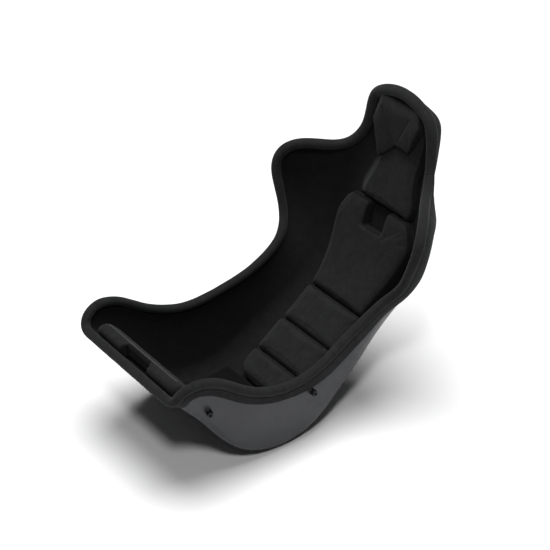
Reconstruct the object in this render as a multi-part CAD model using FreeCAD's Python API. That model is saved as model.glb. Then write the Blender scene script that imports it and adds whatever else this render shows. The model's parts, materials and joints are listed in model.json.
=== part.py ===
"""Fixed-back racing bucket seat: laminate shell, fabric lining, padded edge, loose pads and side inserts.

X runs across the seat (the occupant faces -Y, so +X is the occupant's left side), +Y runs to the
back and +Z is up. The outlines are drawn in a drawing frame whose zero is at the front of the rim and
at the rim's lowest point; ORIGIN_Y and ORIGIN_Z move them to the row's frame, whose origin is under
the middle of the seat on the ground. All sizes are in millimetres.
"""
import FreeCAD
import Part
import math
import os
from FreeCAD import Vector

# ---------------------------------------------------------------- driving dimensions
ORIGIN_Y = 385.7            # drawing frame -> row frame
ORIGIN_Z = -188.9

SHELL_T = 4.0               # glass-fibre laminate
LINING_GAP = 0.1
LINING_T = 2.2              # foam-backed fabric glued inside the shell
TAPE_GAP = 0.1
TAPE_T = 1.6                # hook-and-loop strip under each pad
PAD_GAP = 0.1
PAD_T = 23.0                # loose pads on the back
SKIN_T = 1.3                # fabric cover of a pad
SKIN_GAP = 0.15
WALL_BULGE = 4.0            # the side walls are slightly barrelled
WING_BULGE = 19.0           # and the shoulder wings more so, towards the rim

ROLL_R = 11.5               # padded roll round the rim, over its cover
COVER_T = 1.5
FOAM_R = 9.7
FLAP_SIDE = 45.0            # how far the roll's cover reaches down the outside of the shell
FLAP_FRONT = 30.0
FLAP_THIGH = 30.0
TAIL_IN = 21.0              # and how far down the inside
ROLL_STEP = 12.0            # spacing of the sections along the rim

INSERT_R = 8.0              # side-mount inserts: barrel, flange and M8 thread (tapping size)
INSERT_PROUD = 14.0
INSERT_FLANGE_R = 17.0
INSERT_FLANGE_T = 1.6
INSERT_BORE_R = 3.4
INSERT_FRONT = (57.0, 19.0)  # drawing-frame (y, z) on the outside of the shell
INSERT_REAR = (345.0, -43.0)

# Stations from the front lip to the top of the head. Each one gives the floor of the U-section on the
# centre line (y, z), the half-width and corner radius of the floor, the crown of the floor, and the rim
# (half-width, y, z).
STATIONS = [
    # floor y, z    half  corner crown  rim x, y, z
    ((-27, 64), (197, 28, 0), (198, -12, 92)),       # front lip
    ((-8, 50), (197, 30, 0), (204, 8, 102)),
    ((30, 8), (197, 34, 0), (207, 40, 104)),         # thigh hump
    ((62, -30), (196, 40, 0), (209, 72, 94)),
    ((106, -89), (196, 39, 0), (210, 112, 70)),
    ((146, -134), (195, 38, 0), (214, 155, 40)),
    ((195, -168), (195, 37, 0), (214, 205, 16)),
    ((258, -184), (195, 36, 0), (212, 262, 1)),      # lowest part of the base
    ((326, -180), (193, 36, 0), (209, 325, 3)),
    ((386, -155), (190, 36, 0), (203, 385, 18)),
    ((443, -115), (182, 36, 0), (194, 435, 38)),     # hip
    ((502, -72), (173, 38, 0), (190, 490, 66)),
    ((556, -31), (159, 43, 0), (194, 538, 97)),      # lumbar
    ((608, 14), (152, 48, 0), (207, 568, 126)),
    ((652, 63), (156, 50, 0), (232, 588, 160)),
    ((688, 118), (161, 52, 0), (256, 592, 215)),
    ((711, 170), (165, 56, 0), (273, 594, 264)),     # shoulder wing
    ((728, 216), (161, 64, 0), (269, 609, 304)),
    ((744, 258), (150, 72, 0), (240, 641, 329)),
    ((757, 296), (134, 80, 0), (190, 688, 332)),
    ((772, 334), (122, 78, 0), (150, 729, 342)),     # neck
    ((787, 374), (115, 68, 0), (128, 755, 375)),
    ((799, 416), (112, 58, 0), (117, 765, 412)),     # head
    ((805, 456), (111, 52, 0), (112, 769, 446)),
    ((805, 490), (109, 46, 4), (109, 770, 462)),
    ((797, 511), (107, 46, 9), (107, 770, 469)),
    ((772, 522), (103, 44, 13), (104, 770, 474)),    # top of the head
]
ROWS = 78                   # sections cut through the stations
FLOOR_POINTS = 7            # points across half a section: floor, corner and wall
CORNER_POINTS = 6
WALL_POINTS = 8

PAD_BASE = TAPE_GAP + TAPE_T + PAD_GAP
NOTCH_HALF = 38.0           # harness notch between the shoulder pad's horns
NOTCH_CENTRE = (722, 202)   # where its floor meets the back, on the centre line
NOTCH_TILT = 14.0
STRAP_HALF = 55.0           # crotch-strap recess in the nose of the thigh pad
STRAP_BACK = 1.0
HEAD_BACK = (755.0, 775.0)  # sloping back face of the headrest: y at these two heights
HEAD_BACK_Z = (373.0, 452.0)

X_AXIS = Vector(1, 0, 0)
OUT_DIR = "parts"


# ---------------------------------------------------------------- small geometry helpers
def mix(a, b, s):
    return a + (b - a) * s


def mirrored(p):
    return Vector(-p.x, p.y, p.z)


def unit(p):
    return p / p.Length


def to_row(shape):
    """Move a finished shape from the drawing frame to the row frame."""
    moved = shape.copy()
    moved.translate(Vector(0, -ORIGIN_Y, -ORIGIN_Z))
    return moved


def knots(count, degree):
    spans = count - degree
    mults = [degree + 1] + [1] * (spans - 1) + [degree + 1]
    return [float(i) for i in range(spans + 1)], mults


def patch(grid):
    """B-spline face whose control net is the grid (rows of points)."""
    deg_u = min(3, len(grid) - 1)
    deg_v = min(3, len(grid[0]) - 1)
    ku, mu = knots(len(grid), deg_u)
    kv, mv = knots(len(grid[0]), deg_v)
    surface = Part.BSplineSurface()
    surface.buildFromPolesMultsKnots(grid, mu, mv, ku, kv, False, False, deg_u, deg_v)
    return surface.toShape()


def solid_from(faces):
    shell = Part.makeShell(faces)
    shell.sewShape()
    solid = Part.makeSolid(Part.Shell(shell.Faces))
    if solid.Volume < 0:
        solid.reverse()
    return solid


def solid_between(top, bottom):
    """Solid between two control nets of the same size, closed by ruled edges."""
    def side(row_a, row_b):
        return patch([row_a, row_b])
    faces = [patch(top), patch(bottom)]
    faces.append(side(top[0], bottom[0]))
    faces.append(side(top[-1], bottom[-1]))
    faces.append(side([r[0] for r in top], [r[0] for r in bottom]))
    faces.append(side([r[-1] for r in top], [r[-1] for r in bottom]))
    return solid_from(faces)


def cushion_between(top, bottom):
    """Solid between two control nets that share their border."""
    return solid_from([patch(top), patch(bottom)])


def curve_through(points, params):
    curve = Part.BSplineCurve()
    curve.interpolate(Points=points, Parameters=params)
    return curve


# ---------------------------------------------------------------- the seat's form
class Form:
    """The mould surface: U-sections between a centre line and the rim."""

    def __init__(self, stations):
        floor = [Vector(0, s[0][0], s[0][1]) for s in stations]
        shape = [Vector(*s[1]) for s in stations]
        rim = [Vector(*s[2]) for s in stations]
        params = [0.0]
        for i in range(1, len(stations)):
            step = (floor[i] - floor[i - 1]).Length + (rim[i] - rim[i - 1]).Length
            params.append(params[-1] + step / 2)
        self.end = params[-1]
        self.floor = curve_through(floor, params)
        self.shape = curve_through(shape, params)
        self.rim = curve_through(rim, params)

    def half_section(self, t):
        """Points from the centre line out to the rim."""
        centre = self.floor.value(t)
        half, radius, crown = self.shape.value(t)
        rim = self.rim.value(t)
        wall = unit(rim - Vector(half, centre.y, centre.z))
        turn = wall.getAngle(X_AXIS)
        reach = min(radius * math.tan(turn / 2), 0.85 * (rim - Vector(half, centre.y, centre.z)).Length)
        start = Vector(half - reach, centre.y, centre.z - crown)
        corner = Vector(half, centre.y, start.z - 2 * crown * reach / (half - reach))
        wall = unit(rim - corner)
        finish = corner + wall * min(reach, 0.8 * (rim - corner).Length)
        outward = unit(X_AXIS - wall * X_AXIS.dot(wall))
        points = []
        for i in range(FLOOR_POINTS):
            s = i / FLOOR_POINTS
            points.append(Vector(start.x * s, centre.y, centre.z - crown * s * s))
        for i in range(CORNER_POINTS):
            s = i / CORNER_POINTS
            points.append(mix(mix(start, corner, s), mix(corner, finish, s), s))
        span = (rim - finish).Length
        bulge = WALL_BULGE * min(1.0, span / 100)
        rise = min(1.0, max(0.0, (centre.z - 10) / 110)) if centre.y > 300 else 0.0
        wing = WING_BULGE * rise * min(1.0, max(0.0, (400 - centre.z) / 130))
        for i in range(WALL_POINTS + 1):
            s = i / WALL_POINTS
            barrel = bulge * 4 * s * (1 - s) + wing * 6.75 * s * s * (1 - s)
            points.append(mix(finish, rim, s) + outward * barrel)
        return points

    def grid(self):
        rows = []
        for i in range(ROWS + 1):
            half = self.half_section(self.end * i / ROWS)
            rows.append([mirrored(p) for p in reversed(half[1:])] + half)
        return rows


def normals_of(grid):
    """Outward unit normal at each point of the net; the border takes its inner neighbour's."""
    rows = len(grid)
    cols = len(grid[0])
    normals = [[None] * cols for _ in range(rows)]
    for i in range(rows):
        for j in range(cols):
            a = min(max(i, 1), rows - 2)
            b = min(max(j, 1), cols - 2)
            along = grid[a + 1][b] - grid[a - 1][b]
            across = grid[a][b + 1] - grid[a][b - 1]
            normals[i][j] = unit(along.cross(across))
    return normals


def offset_grid(grid, normals, distance):
    rows = range(len(grid))
    cols = range(len(grid[0]))
    return [[grid[i][j] + normals[i][j] * distance for j in cols] for i in rows]


FORM = Form(STATIONS)
MOULD = FORM.grid()
MOULD_N = normals_of(MOULD)
OUTER = offset_grid(MOULD, MOULD_N, SHELL_T)
LINING_FACE = LINING_GAP + LINING_T
INNER = offset_grid(MOULD, MOULD_N, -LINING_FACE)
OUTER_SURFACE = patch(OUTER).Surface
INNER_SURFACE = patch(INNER).Surface


# ---------------------------------------------------------------- shell and lining
def insert_frames():
    """Name, foot point on the shell's outside and outward axis of the four side inserts."""
    frames = []
    for end, (y, z) in (("front", INSERT_FRONT), ("rear", INSERT_REAR)):
        u, v = OUTER_SURFACE.parameter(Vector(205, y, z))
        foot = OUTER_SURFACE.value(u, v)
        axis = OUTER_SURFACE.normal(u, v)
        if axis.x < 0:
            axis = axis * -1
        frames.append((end + "_left", foot, axis))
        frames.append((end + "_right", mirrored(foot), mirrored(axis)))
    return frames


def seat_shell():
    shell = solid_between(OUTER, MOULD)
    for _, foot, axis in insert_frames():
        hole = Part.makeCylinder(INSERT_R + 0.1, 30, foot - axis * 15, axis)
        seat = foot - axis * (SHELL_T - INSERT_FLANGE_T - 0.4)
        pocket = Part.makeCylinder(INSERT_FLANGE_R + 0.2, 6, seat, axis * -1)
        shell = shell.cut(hole).cut(pocket)
    return shell


def inner_lining():
    return solid_between(offset_grid(MOULD, MOULD_N, -LINING_GAP), INNER)


def side_insert(foot, axis):
    """Steel T-insert: flange in the laminate, barrel standing proud, threaded right through."""
    seat = foot - axis * (SHELL_T - INSERT_FLANGE_T - 0.5)
    flange = Part.makeCylinder(INSERT_FLANGE_R, INSERT_FLANGE_T, seat - axis * INSERT_FLANGE_T, axis)
    length = INSERT_PROUD + (foot - seat).Length
    barrel = Part.makeCylinder(INSERT_R, length + 0.5, seat - axis * 0.5, axis)
    barrel = barrel.makeChamfer(1.0, [barrel.Edges[0]])
    body = flange.fuse(barrel).removeSplitter()
    bore = Part.makeCylinder(INSERT_BORE_R, length + 10, seat - axis * 5, axis)
    return body.cut(bore)


# ---------------------------------------------------------------- padded edge
def rim_loop():
    """Half of the rim, front centre to head centre: points and outward normals, evenly spaced."""
    mid = len(MOULD[0]) // 2
    last = len(MOULD[0]) - 1
    points = [(MOULD[0][j], MOULD_N[0][j]) for j in range(mid, last)]
    points += [(MOULD[i][last], MOULD_N[i][last]) for i in range(ROWS + 1)]
    points += [(MOULD[ROWS][j], MOULD_N[ROWS][j]) for j in range(last - 1, mid - 1, -1)]
    lengths = [0.0]
    for (a, _), (b, _) in zip(points, points[1:]):
        lengths.append(lengths[-1] + (b - a).Length)
    count = int(round(lengths[-1] / ROLL_STEP))
    even = []
    k = 0
    for i in range(count + 1):
        want = lengths[-1] * i / count
        while k < len(lengths) - 2 and lengths[k + 1] < want:
            k += 1
        s = (want - lengths[k]) / (lengths[k + 1] - lengths[k])
        place = mix(points[k][0], points[k + 1][0], s)
        normal = unit(mix(points[k][1], points[k + 1][1], s))
        even.append((place, normal))
    return even


def whole_loop():
    """The closed rim, from the front centre round the left side and back along the right side."""
    half = rim_loop()
    other = [(mirrored(p), mirrored(n)) for p, n in reversed(half[1:-1])]
    return half + other


class Edge:
    """Frames along the rim: N points out of the shell and D down into its wall."""

    def __init__(self):
        loop = whole_loop()
        n = len(loop)
        self.count = n
        self.half = n // 2
        self.frames = []
        for i in range(n):
            place = (loop[i - 1][0] + loop[i][0] * 2 + loop[(i + 1) % n][0]) / 4
            tangent = unit(loop[(i + 1) % n][0] - loop[i - 1][0])
            normal = Vector(0, 0, 0)
            for k in range(-2, 3):
                normal = normal + loop[(i + k) % n][1]
            normal = unit(normal - tangent * normal.dot(tangent))
            down = unit(tangent.cross(normal))
            self.frames.append((place, normal, down))

    def on_wall(self, i, depth, lift, outside):
        """Point at the given depth below the rim, lifted off the outer or inner face."""
        place, normal, down = self.frames[i % self.count]
        surface = OUTER_SURFACE if outside else INNER_SURFACE
        level = SHELL_T if outside else -LINING_FACE
        guess = place + down * depth + normal * level
        u, v = surface.parameter(guess)
        foot = surface.value(u, v)
        face = surface.normal(u, v)
        if face.dot(normal) < 0:
            face = face * -1
        return foot + face * (lift if outside else -lift)

    def on_roll(self, i, radius, degrees):
        """Point on the roll; 0 degrees faces out of the shell and 90 degrees away from the wall."""
        place, normal, down = self.frames[i % self.count]
        centre = place + normal * ((SHELL_T - LINING_FACE) / 2)
        angle = math.radians(degrees)
        return centre + normal * (radius * math.cos(angle)) - down * (radius * math.sin(angle))

    def at(self, i, out, down_by):
        place, normal, down = self.frames[i % self.count]
        return place + normal * out + down * down_by


def flap_depth(edge, i):
    """The cover's outside flap is shorter round the front lip and the head."""
    place = edge.frames[i % edge.count][0]
    front = min(1.0, max(0.0, (place.y + 10) / 50))
    side = min(1.0, max(0.0, (place.y - 270) / 130))
    head = min(1.0, max(0.0, (place.z - 340) / 90))
    return mix(mix(FLAP_FRONT, FLAP_THIGH, front), FLAP_SIDE, side) - 5 * head


def cover_row(edge, i, outer_skin):
    radius = ROLL_R if outer_skin else ROLL_R - COVER_T
    lift = 0.15 + (COVER_T if outer_skin else 0)
    flap = flap_depth(edge, i)
    row = [edge.on_wall(i, flap * s, lift, True) for s in (1.0, 0.82, 0.62, 0.45)]
    row += [edge.on_roll(i, radius, angle) for angle in range(-35, 216, 25)]
    row += [edge.on_wall(i, depth, lift, False) for depth in (15.0, TAIL_IN)]
    return row


def edge_cover(edge, first, last):
    """One sewn panel of the cover between two places along the rim."""
    steps = range(first, last + 1)
    outside = [cover_row(edge, i, True) for i in steps]
    inside = [cover_row(edge, i, False) for i in steps]
    return solid_between(outside, inside)


def foam_row_outer(edge, i):
    return [edge.on_roll(i, FOAM_R, angle) for angle in range(-50, 231, 20)]


def foam_row_slot(edge, i):
    """The slot that grips the edge of shell and lining."""
    out = SHELL_T + 0.3
    inn = -LINING_FACE - 0.3
    depths = (6.5, 4.5, 2.5, 0.5, -1.5, -3.0)
    row = [edge.at(i, out, d) for d in depths]
    row += [edge.at(i, mix(out, inn, s), -3.0) for s in (0.25, 0.5, 0.75)]
    row += [edge.at(i, inn, d) for d in reversed(depths)]
    return row


def edge_foam(edge, first, last):
    steps = range(first, last + 1)
    outside = [foam_row_outer(edge, i) for i in steps]
    slot = [foam_row_slot(edge, i) for i in steps]
    return solid_between(outside, slot)


# ---------------------------------------------------------------- pads
def lining_point(t, across, height):
    """Point above the lining: t along the centre line, across measured along the section."""
    points = FORM.half_section(t)
    left = abs(across)
    for a, b in zip(points, points[1:]):
        step = (b - a).Length
        if left <= step:
            break
        left -= step
    base = mix(a, b, left / step)
    along = FORM.floor.tangent(t)[0]
    inward = unit((b - a).cross(along))
    place = base + inward * (LINING_FACE + height)
    return place if across >= 0 else mirrored(place)


def t_at(y, z):
    return FORM.floor.parameter(Vector(0, y, z))


class Pad:
    """A loose pad on the lining between two places on the centre line.

    widths lists (fraction of the length, half-width). An inset shrinks the pad on all sides, which
    makes its foam core and the hollow of its cover.
    """

    def __init__(self, front, back, widths, thick=PAD_T, edge=7.0, rows=16, cols=13):
        self.t0 = t_at(*front)
        self.t1 = t_at(*back)
        self.widths = widths
        self.thick = thick
        self.edge = edge
        self.rows = rows
        self.cols = cols

    def half_width(self, s):
        for (s0, w0), (s1, w1) in zip(self.widths, self.widths[1:]):
            if s <= s1:
                return mix(w0, w1, (s - s0) / (s1 - s0))
        return self.widths[-1][1]

    def steps(self, length, count):
        """Places across the pad, closer at the rounded edges, and the share of full height there."""
        inner = [mix(self.edge, length - self.edge, i / (count - 5)) for i in range(count - 4)]
        places = [0.0, 0.8] + inner + [length - 0.8, length]
        shares = [0.0, 0.8] + [1.0] * (count - 4) + [0.8, 0.0]
        return list(zip(places, shares))

    def net(self, inset, base, top):
        length = self.t1 - self.t0
        rows = []
        for place, share in self.steps(length - 2 * inset, self.rows):
            t = self.t0 + inset + place
            half = self.half_width((t - self.t0) / length) - inset
            row = []
            for across, share_across in self.steps(2 * half, self.cols):
                height = mix(base, top, min(share, share_across))
                row.append(lining_point(t, across - half, height))
            rows.append(row)
        return rows

    def foam(self):
        inset = SKIN_T + SKIN_GAP
        top = PAD_BASE + self.thick - inset
        return cushion_between(self.net(inset, PAD_BASE, top), self.net(inset, PAD_BASE, PAD_BASE))

    def cover(self):
        """Fabric over the top and sides, open underneath."""
        top = PAD_BASE + self.thick
        outside = self.net(0.0, PAD_BASE, top)
        inside = self.net(SKIN_T, PAD_BASE, top - SKIN_T)
        return solid_between(outside, inside)

    def tapes(self):
        """Two hook-and-loop strips along the pad, between it and the lining."""
        length = self.t1 - self.t0
        margin = 0.14 * length
        strips = []
        for side in (-1, 1):
            layers = []
            for height in (TAPE_GAP, TAPE_GAP + TAPE_T):
                net = []
                for i in range(9):
                    t = self.t0 + mix(margin, length - margin, i / 8)
                    middle = 0.58 * self.half_width((t - self.t0) / length)
                    row = [lining_point(t, side * (middle + k * 6.0), height) for k in (-2, -1, 0, 1, 2)]
                    net.append(row)
                layers.append(net)
            strips.append(solid_between(layers[1], layers[0]))
        return Part.makeCompound(strips)


def box_rounded_along_y(half, y0, y1, z0, z1, radius):
    box = Part.makeBox(2 * half, y1 - y0, z1 - z0, Vector(-half, y0, z0))
    edges = [e for e in box.Edges if abs(e.tangentAt(e.FirstParameter).y) > 0.9]
    return box.makeFillet(radius, edges)


class ShoulderPad(Pad):
    """The widest pad, with a square harness notch between two rounded horns."""

    def notch(self):
        y, z = NOTCH_CENTRE
        notch = box_rounded_along_y(NOTCH_HALF, -80, 30, -36, 100, 6.0)
        notch.rotate(Vector(0, 0, 0), X_AXIS, -NOTCH_TILT)
        notch.translate(Vector(0, y, z))
        return notch

    def foam(self):
        return super().foam().cut(self.notch())

    def cover(self):
        return super().cover().cut(self.notch())


class ThighPad:
    """Bolster behind the front lip: a raised nose, then a pad that runs down the inside of the front."""

    profile = [(-9.0, 56.0), (-11.0, 66.0), (-11.5, 78.0), (-4.0, 85.5), (9.0, 87.0),
               (24.0, 78.0), (44.0, 52.0), (66.0, 22.0), (84.0, -4.0), (98.0, -28.0), (101.0, -46.0),
               (96.0, -55.0)]
    half = 166.0
    first = (-6, 48)
    last = (90, -66)

    def steps(self, width, count=17):
        inner = [mix(9.0, width - 9.0, i / (count - 5)) for i in range(count - 4)]
        places = [0.0, 0.8] + inner + [width - 0.8, width]
        shares = [0.0, 0.82] + [1.0] * (count - 4) + [0.82, 0.0]
        return list(zip(places, shares))

    def net(self, inset, lifted):
        rows = []
        last_row = len(self.profile) - 1
        half = self.half - inset
        middle = Vector(0, 38, 12)
        t0 = t_at(*self.first)
        t1 = t_at(*self.last)
        for i, (y, z) in enumerate(self.profile):
            t = mix(t0 + inset, t1 - inset, i / last_row)
            foot = lining_point(t, 0.0, PAD_BASE)
            crest = Vector(0, y, z)
            crest = crest + unit(middle - crest) * inset
            row = []
            for place, share in self.steps(2 * half):
                raised = lifted and 0 < i < last_row
                level = mix(foot, crest, share) if raised else foot
                row.append(Vector(place - half, level.y, level.z))
            rows.append(row)
        return rows

    def recess(self):
        return box_rounded_along_y(STRAP_HALF, -60, STRAP_BACK, 40, 140, 8.0)

    def foam(self):
        inset = SKIN_T + SKIN_GAP
        return cushion_between(self.net(inset, True), self.net(inset, False)).cut(self.recess())

    def cover(self):
        return solid_between(self.net(0.0, True), self.net(SKIN_T, True)).cut(self.recess())

    def tapes(self):
        strips = []
        for side in (-1, 1):
            layers = []
            for height in (TAPE_GAP, TAPE_GAP + TAPE_T):
                net = []
                for i in range(7):
                    t = t_at(mix(26, 82, i / 6), mix(12, -56, i / 6))
                    net.append([lining_point(t, side * (95 + k * 8), height) for k in (-2, -1, 0, 1, 2)])
                layers.append(net)
            strips.append(solid_between(layers[1], layers[0]))
        return Part.makeCompound(strips)


def face_of(points):
    return Part.Face(Part.makePolygon(points + [points[0]]))


class Headrest:
    """Two wings folded forward from a flat middle, with a notch under its point.

    The pad is cut with one long wing: its right one reaches lower than its left one.
    """

    point = Vector(0, 750, 391)
    top = Vector(60, 760, 496)
    fold = Vector(50, 750, 479)
    left_wing = [Vector(79, 744, 465), Vector(50, 748, 391)]        # widest place and lower corner
    right_wing = [Vector(-77, 742, 436), Vector(-50, 735, 344)]

    def behind(self, p):
        """The place straight behind a corner on the sloping back plane."""
        y = mix(*HEAD_BACK, (p.z - HEAD_BACK_Z[0]) / (HEAD_BACK_Z[1] - HEAD_BACK_Z[0]))
        return Vector(p.x, y, p.z)

    def body(self):
        faces = []
        rim = []
        for wing, flip in ((self.left_wing, Vector), (self.right_wing, mirrored)):
            top, fold = flip(self.top), flip(self.fold)
            wide, corner = wing
            outline = [top, wide, corner, self.point]
            faces.append(face_of([fold, wide, top]))
            faces.append(face_of([fold, wide, corner]))
            faces.append(face_of([fold, corner, self.point]))
            for a, b in zip(outline, outline[1:]):
                faces.append(face_of([a, b, self.behind(b), self.behind(a)]))
            rim.append([self.behind(p) for p in outline])
        top, fold = self.top, self.fold
        faces.append(face_of([fold, mirrored(fold), self.point]))
        faces.append(face_of([top, mirrored(top), mirrored(fold), fold]))
        faces.append(face_of([top, mirrored(top), rim[1][0], rim[0][0]]))
        faces.append(face_of(rim[0] + rim[1][2::-1]))
        return solid_from(faces)

    def foam(self):
        return shrunk(self.body(), SKIN_T + SKIN_GAP)

    def cover(self):
        return self.body().cut(shrunk(self.body(), SKIN_T))

    def tapes(self):
        """Two strips on the sloping back face."""
        lean = math.degrees(math.atan2(HEAD_BACK[1] - HEAD_BACK[0], 79))
        strips = []
        for side in (-1, 1):
            strip = Part.makeBox(18, TAPE_T - 0.2, 46, Vector(side * 24 - 9, 0.1, 0))
            strip.rotate(Vector(0, 0, 0), X_AXIS, -lean)
            strip.translate(Vector(0, mix(*HEAD_BACK, 29 / 79), 402))
            strips.append(strip)
        return Part.makeCompound(strips)


def shrunk(body, inset):
    """The body drawn in towards its middle by about the inset on every side."""
    box = body.BoundBox
    matrix = FreeCAD.Matrix()
    matrix.move(box.Center * -1)
    matrix.scale(1 - 2 * inset / box.XLength, 1 - 3 * inset / box.YLength, 1 - 2 * inset / box.ZLength)
    matrix.move(box.Center)
    return body.transformGeometry(matrix)


PADS = {
    "seat_pad": Pad((168, -152), (347, -173), [(0, 116), (0.15, 130), (0.9, 136), (1, 128)], 20.0, 8.0),
    "hip_pad": Pad((352, -170), (421, -131), [(0, 60), (0.3, 90), (0.6, 98), (1, 97)], 33.0),
    "lumbar_pad_lower": Pad((422, -130), (502, -72), [(0, 92), (0.1, 98), (0.9, 100), (1, 95)], 31.0),
    "lumbar_pad_upper": Pad((503, -71), (591, -3), [(0, 95), (0.1, 101), (0.9, 103), (1, 98)], 27.0),
    "shoulder_pad": ShoulderPad((592, -2), (731, 228), [(0, 99), (0.08, 103), (0.62, 136), (0.78, 139),
                                                        (0.93, 120), (1, 101)], 26.0, rows=22, cols=17),
    "upper_back_pad": Pad((732, 230), (805, 459), [(0, 100), (0.12, 108), (0.45, 86), (0.92, 83), (1, 76)],
                          22.0, rows=20),
    "headrest_pad": Headrest(),
    "thigh_pad": ThighPad(),
}


# ---------------------------------------------------------------- the assembly
def build():
    parts = {"seat_shell": seat_shell(), "inner_lining": inner_lining()}
    edge = Edge()
    half = edge.half
    corner = next(i for i in range(half) if edge.frames[i][0].y > 14)
    neck = next(i for i in range(half) if edge.frames[i][0].z > 366 and edge.frames[i][0].y > 740)
    parts["edge_foam_left"] = edge_foam(edge, 0, half)
    parts["edge_foam_right"] = edge_foam(edge, half, edge.count)
    parts["edge_cover_front"] = edge_cover(edge, -corner, corner)
    parts["edge_cover_left"] = edge_cover(edge, corner, neck)
    parts["edge_cover_head"] = edge_cover(edge, neck, edge.count - neck)
    parts["edge_cover_right"] = edge_cover(edge, edge.count - neck, edge.count - corner)
    for name, pad in PADS.items():
        parts[name + "_cover"] = pad.cover()
        parts[name + "_foam"] = pad.foam()
        parts[name + "_tape"] = pad.tapes()
    for name, foot, axis in insert_frames():
        parts["insert_" + name] = side_insert(foot, axis)
    return parts


os.makedirs(OUT_DIR, exist_ok=True)
for node, shape in build().items():
    to_row(shape).exportStep(os.path.join(OUT_DIR, node + ".step"))
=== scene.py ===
"""Looks of a fixed-back racing seat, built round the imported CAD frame. All lengths are in metres."""
import json
import math
import bpy
import numpy as np
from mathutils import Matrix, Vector
from mathutils.bvhtree import BVHTree


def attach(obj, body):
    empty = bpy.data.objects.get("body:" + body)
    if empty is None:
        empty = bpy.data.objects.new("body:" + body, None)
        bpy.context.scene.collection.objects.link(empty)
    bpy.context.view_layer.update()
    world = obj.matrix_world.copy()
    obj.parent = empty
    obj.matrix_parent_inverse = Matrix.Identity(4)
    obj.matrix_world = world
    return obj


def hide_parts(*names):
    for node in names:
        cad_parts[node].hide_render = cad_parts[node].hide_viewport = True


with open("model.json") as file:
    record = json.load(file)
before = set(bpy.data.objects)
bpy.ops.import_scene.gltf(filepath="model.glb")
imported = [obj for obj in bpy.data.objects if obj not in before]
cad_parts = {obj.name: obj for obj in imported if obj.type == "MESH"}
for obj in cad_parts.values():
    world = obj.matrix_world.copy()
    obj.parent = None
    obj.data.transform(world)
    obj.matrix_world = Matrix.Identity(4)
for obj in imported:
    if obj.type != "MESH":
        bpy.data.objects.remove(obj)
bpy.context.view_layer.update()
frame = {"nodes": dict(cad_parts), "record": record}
NODES = frame["nodes"]
PADS = ("seat_pad", "hip_pad", "lumbar_pad_lower", "lumbar_pad_upper", "shoulder_pad",
        "upper_back_pad", "headrest_pad", "thigh_pad")

SHELL_T = 0.004             # laminate
LINING_T = 0.0023           # lining and its glue
COVER_OUT = 0.0021          # how far a pad's cover stands outside its foam

ROLL_R = 0.0115             # padded roll round the rim, thicker at the shoulder wings and again at the head
ROLL_WING = 0.0014
ROLL_HEAD = 0.0018
WING_Z = (0.38, 0.48)       # heights between which each of the two comes in
HEAD_Z = (0.57, 0.66)

FLAP = 0.030                # depth of the flap at the front, with what the sides add and the head takes off
FLAP_SIDE = 0.015
FLAP_HEAD = 0.005
FLAP_SIDE_Y = (-0.1157, 0.0143)
FLAP_HEAD_Z = (0.529, 0.619)

RIM_STEP = 0.0034           # spacing of the sections along the rim
RIM_SHARP = 40              # degrees between faces at the shell's edges
FRONT_SEAM_Y = -0.3717      # the side lengths of cover run from a front corner up to the neck
NECK_SEAM_Z = 0.555
NECK_SEAM_Y = 0.35          # only this far back, as the shoulder wings reach nearly as high

STITCH = 0.0042             # pitch and length of the stitches, and radius of their thread
STITCH_LENGTH = 0.0030
HEM_THREAD = 0.00042
ROLL_THREAD = 0.0004

PIPING_Y = -0.3707          # welt along the thigh pad's crest
PIPING_X = 0.146
PIPING_R = 0.0019
RECESS_Y = -0.3770          # the crotch-strap recess lies in front of this, and is sunk so much
RECESS_SINK = 0.008
RECESS_ROUND = 0.012        # width of its rounded ends


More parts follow.
